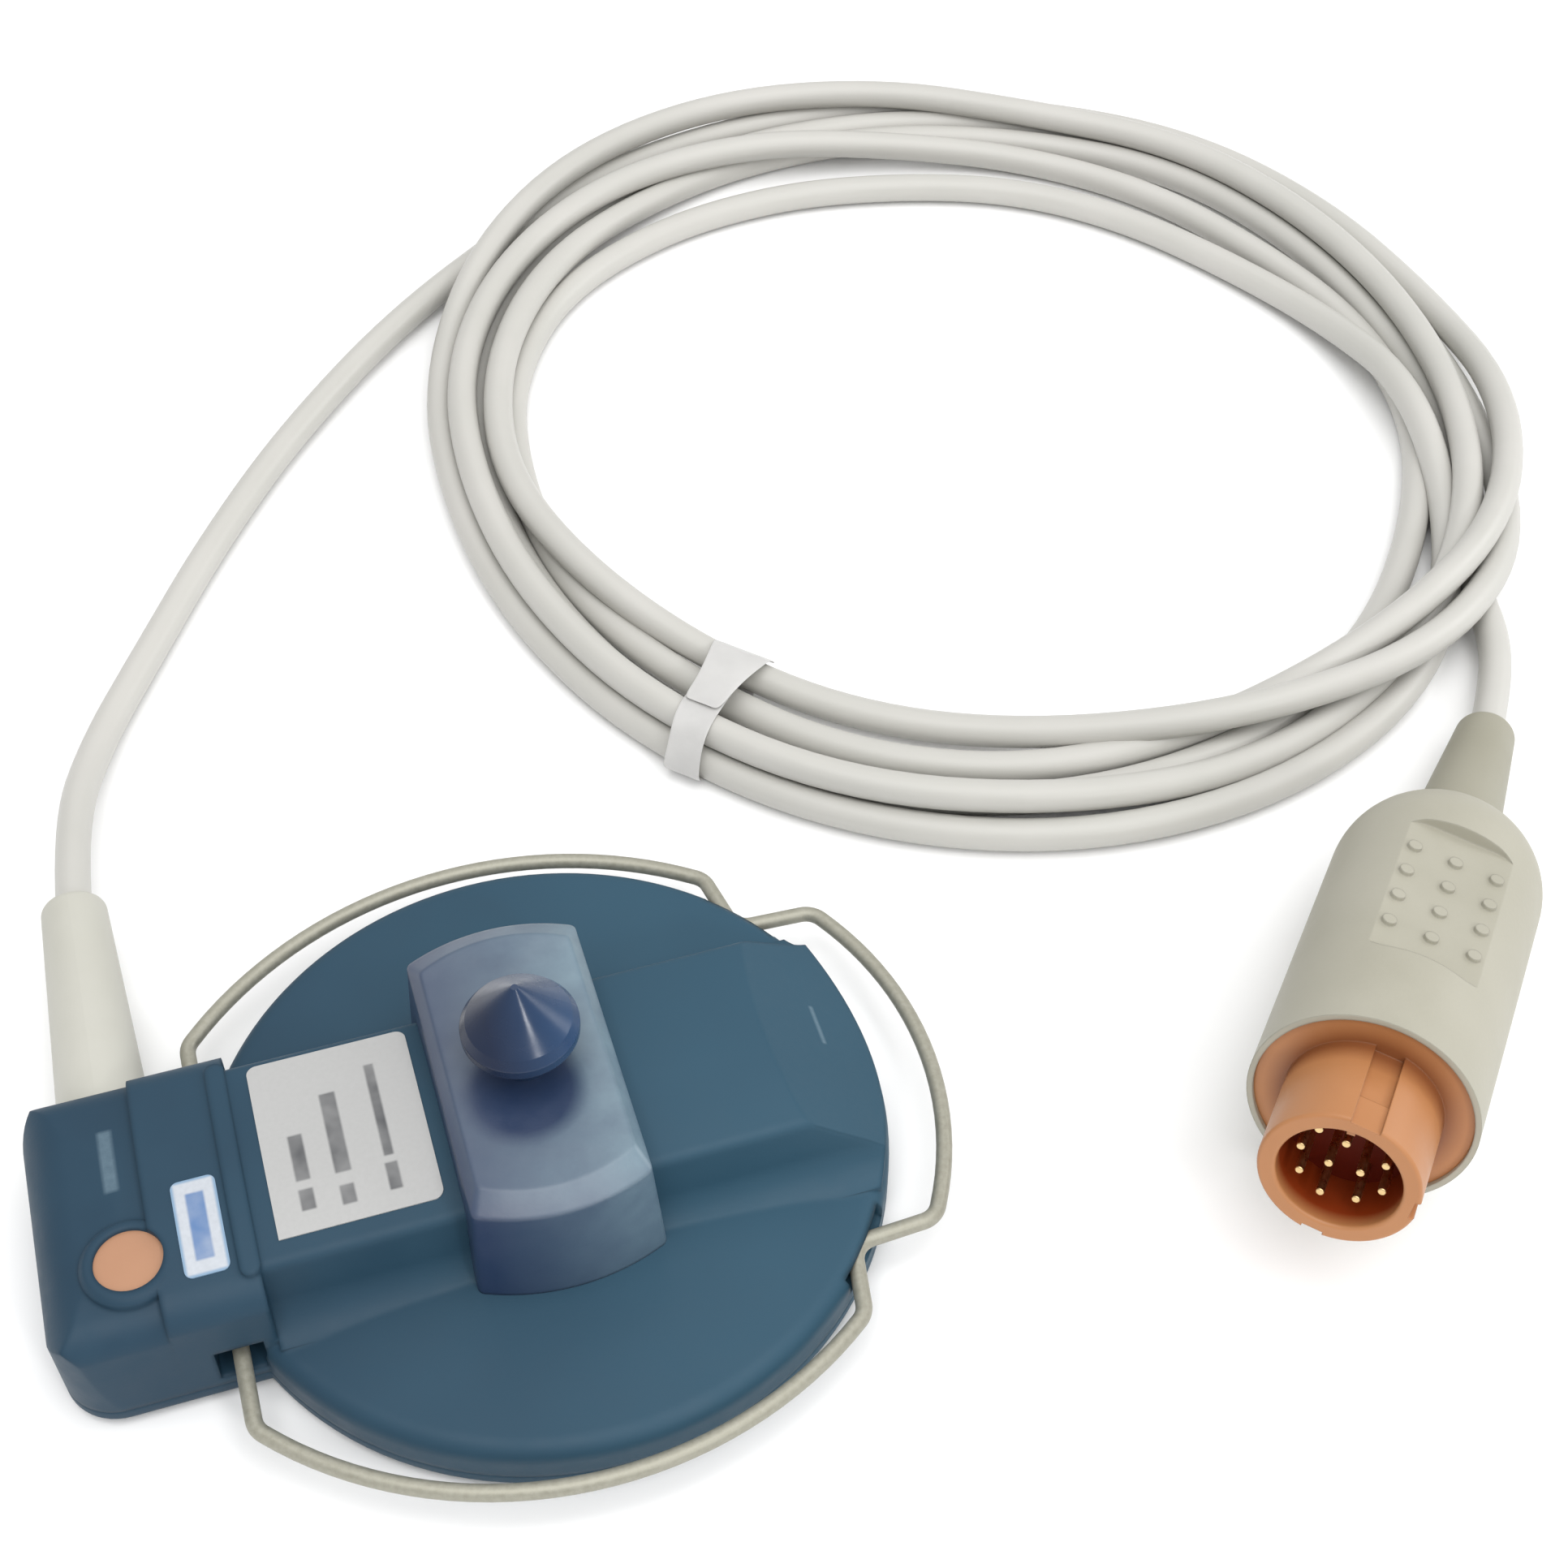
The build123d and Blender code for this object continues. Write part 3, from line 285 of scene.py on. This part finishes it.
def plug_shell_plastic():
    """Salmon orange, with painted shade by the barrel's root, and dark red in its bore."""
    # Middle of the barrel's front, and the barrel's axis, pointing out of the plug
    front, axis = (0.0779, -0.0416, 0.0246), (-0.6405, -0.7368, 0.2164)
    in_bore_radius, wall_radius = 0.0069, 0.0072
    # Painted shade by the barrel's root: the radii where it is full and where it ends, and its
    # greatest share
    root_radius, flange_radius, deepest_root_shade = 0.0090, 0.0112, 0.75

    made = moulded("plug_orange", srgb(170, 114, 70), srgb(180, 124, 79), 0.42, 2200.0, 0.08,
                   soft_edge=0.25)
    depth, reach = made.from_axis(front, axis)
    in_bore = made.math(
        "MULTIPLY",
        made.spread(reach, wall_radius, in_bore_radius),
        made.spread(depth, -0.0004, -0.0022),
    )
    # Painted shade on the flange where the barrel meets it, deepest next to the barrel
    root_shade = made.math(
        "MULTIPLY",
        made.spread(reach, flange_radius, root_radius, 0.0, deepest_root_shade),
        made.spread(depth, -0.0095, -0.0118),
    )
    shaded_at_root = made.mix(root_shade, made.colour, srgb(118, 62, 28))
    made.colour_from(made.mix(in_bore, shaded_at_root, srgb(134, 50, 12)))
    return made


housing = housing_plastic()
bracket = bracket_plastic()
knob = knob_plastic()
pad = moulded("pad_plastic", srgb(58, 92, 112), srgb(66, 100, 120), 0.5, 2200.0, 0.15)
boot = moulded("boot_plastic", srgb(180, 179, 169), srgb(187, 186, 177), 0.5, 2000.0, 0.10)
plug_boot = moulded("plug_boot_plastic", srgb(145, 142, 126), srgb(152, 149, 134), 0.5, 2000.0,
                    0.10)
plug_grey = moulded("plug_plastic", srgb(160, 157, 142), srgb(169, 166, 152), 0.52, 1700.0, 0.3,
                    soft_edge=0.35)
plug_orange = plug_shell_plastic()
marker = moulded("marker_orange", srgb(168, 122, 92), srgb(177, 132, 102), 0.5, 1500.0, 0.10)
insert = moulded("insert_brown", srgb(92, 22, 5), srgb(106, 28, 7), 0.55, 1500.0, 0.15,
                 specular=0.2)
black = moulded("component_plastic", srgb(28, 28, 30), srgb(38, 38, 40), 0.55, 1500.0, 0.2)
seal = moulded("seal_rubber", srgb(24, 24, 25), srgb(32, 32, 33), 0.75, 1200.0, 0.25)
membrane = moulded("membrane_rubber", srgb(150, 150, 146), srgb(162, 162, 158), 0.7, 900.0, 0.3)
jacket = moulded("cord_jacket", srgb(184, 183, 177), srgb(193, 191, 186), 0.42, 1500.0, 0.12,
                 patch=25.0)


def board(name):
    """Green solder mask with faint tracks."""
    made = Maker(name)
    tracks = made.noise(500.0, 1.0, 0.3, made.stretched(1.0, 0.15, 1.0))
    on_track = made.spread(tracks, 0.48, 0.54)
    made.colour_from(made.mix(on_track, srgb(18, 84, 44), srgb(30, 108, 60)))
    made.shader.inputs["Roughness"].default_value = 0.35
    made.link(made.bump(tracks, 0.2, FILM_BUMP), made.shader.inputs["Normal"])
    return made


def metal(name, dark, light, roughness, stretch, scale, bump=0.15, metallic=1.0):
    """Drawn or turned metal: fine lines in colour, roughness and bump."""
    made = Maker(name)
    lines = made.noise(scale, 4.0, 0.6, made.stretched(*stretch))
    made.colour_from(made.mix(made.spread(lines, NOISE_LOW, NOISE_HIGH), dark, light))
    made.shader.inputs["Metallic"].default_value = metallic
    gloss = made.spread(lines, NOISE_LOW, NOISE_HIGH, roughness - 0.06, roughness + 0.08)
    made.link(gloss, made.shader.inputs["Roughness"])
    made.link(made.bump(lines, bump, METAL_BUMP), made.shader.inputs["Normal"])
    return made


EVEN = (1.0, 1.0, 1.0)
ALONG_X = (0.1, 1.0, 1.0)
ALONG_Z = (1.0, 1.0, 0.2)
wire = metal("wire_steel", srgb(148, 146, 132), srgb(163, 161, 148), 0.45, EVEN, 1400.0,
             metallic=0.35)
steel = metal("screw_steel", srgb(176, 176, 174), srgb(200, 200, 198), 0.28, ALONG_Z, 1500.0)
aluminium = metal("beam_aluminium", srgb(196, 198, 200), srgb(214, 216, 218), 0.35, ALONG_X,
                  1800.0)
gold = metal("pin_gold", srgb(210, 180, 128), srgb(226, 198, 148), 0.3, EVEN, 1500.0, bump=0.05)
green = board("board_laminate")


def film(name, fields, paper, ink, edge=None):
    """Printed label film: plain fields of print on satin paper, no lettering.

    fields are (x, y, half_x, half_y) in millimetres. edge is one more, with the
    tint that lies outside it.
    """
    print_soft, edge_soft = 0.14, 0.15
    made = Maker(name)
    fleck = made.noise(1800.0, 2.0, 0.5)
    colour = made.mix(made.spread(fleck, NOISE_LOW, NOISE_HIGH), *paper)
    print_fade_and_painted_light = made.spread(made.noise(260.0, 2.0, 0.5), NOISE_LOW, NOISE_HIGH, 0.55, 0.9)
    if edge is not None:
        *inner, tint = edge
        colour = made.mix(made.field(*inner, edge_soft), tint, colour)
    for field in fields:
        share = made.math("MULTIPLY", made.field(*field, print_soft), print_fade_and_painted_light)
        colour = made.mix(share, colour, ink)
    made.colour_from(colour)
    gloss = made.spread(fleck, NOISE_LOW, NOISE_HIGH, 0.36, 0.5)
    made.link(gloss, made.shader.inputs["Roughness"])
    made.link(made.bump(fleck, 0.04, FILM_BUMP), made.shader.inputs["Normal"])
    return made


data_film = film(
    "label_film",
    (
        (-27.6, -7.0, 0.8, 1.3), (-27.6, -1.6, 0.8, 3.0),
        (-23.2, -7.6, 0.8, 1.2), (-23.2, 0.6, 0.9, 5.4),
        (-18.0, -6.8, 0.7, 1.7), (-18.0, 2.2, 0.55, 6.4),
    ),
    (srgb(171, 171, 170), srgb(174, 174, 173)), srgb(58, 60, 64),
)
type_film = film(
    "type_film",
    ((-39.3, -6.7, 1.0, 4.1),),
    (srgb(180, 185, 192), srgb(187, 192, 199)), srgb(46, 100, 158),
    edge=(-39.3, -6.7, 2.15, 5.6, srgb(124, 152, 178)),
)

tie_made = moulded("tie_film", srgb(220, 219, 217), srgb(232, 231, 229), 0.42, 700.0, 0.6,
                   patch=120.0)
tie_made.shader.inputs["Transmission Weight"].default_value = 0.35
tie_made.shader.inputs["IOR"].default_value = 1.45

finish = {
    housing: ("upper_housing", "lower_housing"),
    bracket: ("belt_bracket",),
    knob: ("belt_knob",),
    pad: ("sensing_pad",),
    boot: ("cable_boot",),
    plug_boot: ("plug_boot",),
    plug_grey: ("plug_body",),
    plug_orange: ("plug_shell",),
    marker: ("marker_disc",),
    insert: ("pin_insert",),
    gold: ("contact_pins",),
    wire: ("wire_bail",),
    steel: ("housing_screws", "membrane_ring", "pad_screw", "beam_screws", "board_screws",
            "clamp_screw", "bracket_screws", "knob_screw"),
    aluminium: ("strain_beam",),
    black: ("strain_gauges", "board_connector", "board_chip", "board_capacitors", "cable_clamp"),
    seal: ("housing_gasket", "inner_leads"),
    membrane: ("pad_membrane",),
    green: ("circuit_board",),
    data_film: ("data_label",),
    type_film: ("type_label",),
}
for made, names in finish.items():
    for name in names:
        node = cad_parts[name]
        for slot in node.material_slots:
            slot.material = made.material


# Cord: one spline from the neck's boot through the coil to the plug's boot, in millimetres
lead_in = (
    (-48.7, 49.0, 8.0), (-48.0, 65.5, 6.2), (-43.2, 82.0, 2.9), (-34.0, 98.0, 2.4),
    (-22.2, 117.6, 2.4), (-7.2, 138.2, 2.6), (14.5, 161.0, 2.9), (38.5, 178.6, 2.9),
)
plug_end = (
    (158.0, 68.3, 2.4), (149.8, 53.0, 2.9), (148.3, 44.5, 2.9), (143.4, 34.9, 3.6),
    (136.19, 25.45, 4.88),
)
COIL_X, COIL_Y = 93.0, 115.5
FIRST_TURN_ANGLE = 120
TURN_STEP = 20
# A spline of this order runs inside its points, so they stand further out than the strands
OUTWARD = 1.0115
SPLINE_ORDER = 3
# Radius and height of each strand at every step of the angle, clockwise
turns = (
    ((83.6, 2.4), (81.5, 2.4), (80.4, 2.4), (80.2, 2.4), (81.8, 2.4), (80.9, 2.4),
     (81.0, 2.6), (83.4, 7.2), (84.0, 9.2), (80.6, 9.8), (76.2, 4.0), (77.0, 2.4),
     (75.8, 2.4), (72.2, 2.4), (70.6, 2.4), (68.7, 2.4), (69.2, 2.4), (68.4, 2.4)),
    ((64.0, 2.4), (59.7, 2.4), (56.5, 2.4), (56.3, 2.4), (56.1, 2.4), (57.4, 2.4),
     (62.8, 3.4), (69.3, 7.8), (77.3, 3.2), (86.2, 2.4), (89.2, 2.4), (89.2, 2.4),
     (86.8, 2.4), (83.0, 2.4), (79.6, 2.4), (78.3, 2.4), (80.6, 3.0), (82.0, 6.9)),
    ((84.5, 7.1), (83.7, 6.8), (79.2, 6.6), (73.4, 6.6), (74.8, 6.4), (73.6, 6.4),
     (73.9, 6.4), (75.8, 6.9), (79.6, 7.4), (82.4, 4.2), (84.7, 2.8), (85.4, 6.2),
     (84.4, 6.5), (81.0, 6.5), (77.3, 6.4), (75.6, 6.4), (76.8, 6.5), (76.9, 6.9)),
    ((75.4, 6.9), (69.9, 6.9), (66.2, 4.2), (65.8, 2.4), (64.6, 2.4), (63.9, 2.4),
     (67.4, 2.4), (70.8, 2.4), (72.2, 2.4), (76.2, 2.4), (80.6, 2.4), (82.4, 2.4),
     (82.2, 2.4), (78.5, 2.4), (75.1, 2.4), (73.2, 2.4), (75.1, 2.4), (77.2, 2.4)),
    ((76.4, 2.4), (76.0, 2.4), (75.8, 2.4), (75.6, 2.4), (77.3, 2.4), (76.2, 2.4),
     (76.3, 2.4), (79.9, 2.4), (86.4, 4.6), (86.6, 8.8), (80.3, 9.0), (71.4, 3.4),
     (68.7, 2.4), (67.2, 3.4), (69.2, 6.9), (70.9, 6.5), (70.9, 6.6), (70.6, 6.4)),
    ((71.4, 3.2), (71.5, 2.4), (71.3, 2.4), (70.9, 2.4), (72.7, 2.4), (71.5, 2.4),
     (71.7, 2.4), (75.3, 2.4)),
)
route = list(lead_in)
angle = FIRST_TURN_ANGLE
for turn in turns:
    for radius, height in turn:
        route.append((
            COIL_X + OUTWARD * radius * math.cos(math.radians(angle)),
            COIL_Y + OUTWARD * radius * math.sin(math.radians(angle)),
            height,
        ))
        angle -= TURN_STEP
route.extend(plug_end)

CORD_DIAMETER = 4.5
cord_data = bpy.data.curves.new("cord", "CURVE")
cord_data.dimensions = "3D"
cord_data.resolution_u = 8
cord_data.bevel_depth = CORD_DIAMETER / 2 * MM
cord_data.bevel_resolution = 5
cord_data.use_fill_caps = True
spline = cord_data.splines.new("NURBS")
spline.points.add(len(route) - 1)
for point, (x, y, z) in zip(spline.points, route):
    point.co = (x * MM, y * MM, z * MM, 1.0)
spline.order_u = SPLINE_ORDER
spline.use_endpoint_u = True
cord_data.materials.append(jacket.material)
cord = bpy.data.objects.new("cord", cord_data)
scene.collection.objects.link(cord)
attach(cord, "root")
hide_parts("cord_lead_in", "cord_coil", "cord_plug_end")


# Tie: a thin film band pulled round the strands, with a loose end on top
TIE_ANGLE = math.radians(-135.0)
TIE_HALF_WIDTH = 2.7
# The tie leans off the radius: millimetres sideways for each one inwards from its outer side
TIE_OUTER = 86.6
TIE_SKEW = -0.09
FILM_THICKNESS = 0.22
LOWEST_FILM = 0.16
WRINKLE_HEIGHT = 0.12
FRAY_WIDTH = 0.16
outward = Vector((math.cos(TIE_ANGLE), math.sin(TIE_ANGLE), 0.0))
along = Vector((-math.sin(TIE_ANGLE), math.cos(TIE_ANGLE), 0.0))
coil_middle = Vector((COIL_X, COIL_Y, 0.0))


def film_mesh(name, section, widths, closed):
    """A band of film: section is its (radius, height) line, widths its half widths on the line."""
    columns = (-1.0, -0.6, -0.2, 0.2, 0.6, 1.0)
    verts = []
    for row, ((radius, height), half) in enumerate(zip(section, widths)):
        skew = TIE_SKEW * (TIE_OUTER - radius)
        for c in columns:
            wrinkle = WRINKLE_HEIGHT * math.sin(2.3 * row + 3.1 * c) * (1 - 0.4 * abs(c))
            fray = FRAY_WIDTH * math.sin(5.0 * row) * c
            spot = coil_middle + outward * (radius + 0.5 * wrinkle)
            spot += along * (half * c + fray + skew)
            lifted = max(height + wrinkle, LOWEST_FILM)
            verts.append(Vector((spot.x, spot.y, lifted)) * MM)
    rows, across = len(section), len(columns)
    faces = []
    for row in range(rows if closed else rows - 1):
        for c in range(across - 1):
            a, b = row * across + c, ((row + 1) % rows) * across + c
            faces.append((a, a + 1, b + 1, b))
    mesh = bpy.data.meshes.new(name)
    mesh.from_pydata(verts, [], faces)
    mesh.materials.append(tie_made.material)
    for face in mesh.polygons:
        face.use_smooth = True
    piece = bpy.data.objects.new(name, mesh)
    scene.collection.objects.link(piece)
    thick = piece.modifiers.new("thickness", "SOLIDIFY")
    thick.thickness = FILM_THICKNESS * MM
    thick.offset = 0.0
    smooth = piece.modifiers.new("smooth", "SUBSURF")
    smooth.levels = 2
    smooth.render_levels = 2
    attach(piece, "root")
    return piece


tie_section = (
    (70.0, 0.16), (67.4, 0.2), (65.6, 1.2), (64.9, 3.0), (65.6, 5.0), (67.4, 6.0),
    (71.0, 6.8), (75.0, 7.7), (79.0, 8.7), (81.8, 9.2), (84.0, 8.4), (85.6, 6.6),
    (86.9, 4.4), (87.5, 2.2), (85.8, 0.9), (83.8, 0.2), (80.0, 0.16), (75.0, 0.16),
)
tie = film_mesh("tie", tie_section, [TIE_HALF_WIDTH] * len(tie_section), True)
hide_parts("coil_tie")
loose_section = (
    (80.5, 9.4), (76.5, 8.6), (72.5, 7.8), (69.0, 7.1), (66.8, 6.5), (65.4, 5.3), (64.6, 3.9),
)
loose_widths = (2.7, 3.0, 3.4, 3.9, 4.3, 4.6, 4.8)
loose_end = film_mesh("tie_loose_end", loose_section, loose_widths, False)


# Floor
FLOOR_HALF = 3.0
FLOOR_DROP = 0.0001
corners = [(x * FLOOR_HALF, y * FLOOR_HALF, 0.0) for x, y in ((-1, -1), (1, -1), (1, 1), (-1, 1))]
floor_mesh = bpy.data.meshes.new("floor")
floor_mesh.from_pydata(corners, [], [(0, 1, 2, 3)])
floor = bpy.data.objects.new("floor", floor_mesh)
floor.location.z = -FLOOR_DROP
scene.collection.objects.link(floor)
floor_made = Maker("floor")
speck = floor_made.spread(floor_made.noise(30.0, 2.0, 0.5), NOISE_LOW, NOISE_HIGH)
floor_made.colour_from(floor_made.mix(speck, (0.93, 0.93, 0.93, 1.0), (0.95, 0.95, 0.95, 1.0)))
floor_made.shader.inputs["Roughness"].default_value = 0.9
floor_mesh.materials.append(floor_made.material)


# Light
WORLD_STRENGTH = 0.7
# Name, place, aim, width in metres and power in watts of each lamp
LAMPS = (
    ("overhead", (0.05, -0.3, 1.25), (0.06, 0.05, 0.0), 1.2, 12.5),
    ("side", (0.9, 0.05, 0.42), (0.04, 0.05, 0.0), 0.4, 1.8),
    ("behind", (0.085, 0.69, 0.98), (0.0, 0.0, 0.0), 0.4, 0.65),
    ("glint", (0.33, -0.9, 0.68), (0.0, 0.0, 0.03), 0.14, 1.7),
)
world = bpy.data.worlds.new("studio")
world.use_nodes = True
sky = world.node_tree.nodes["Background"].inputs
sky["Color"].default_value = (1.0, 1.0, 1.0, 1.0)
sky["Strength"].default_value = WORLD_STRENGTH
scene.world = world
scene.view_settings.view_transform = "Standard"


def lamp(name, spot, aim, size, power):
    """A soft square light."""
    data = bpy.data.lights.new(name, "AREA")
    data.shape = "SQUARE"
    data.size = size
    data.energy = power
    light = bpy.data.objects.new(name, data)
    scene.collection.objects.link(light)
    way = Vector(aim) - Vector(spot)
    aimed = way.to_track_quat("-Z", "Y").to_matrix().to_4x4()
    light.matrix_world = Matrix.Translation(spot) @ aimed


for row in LAMPS:
    lamp(*row)
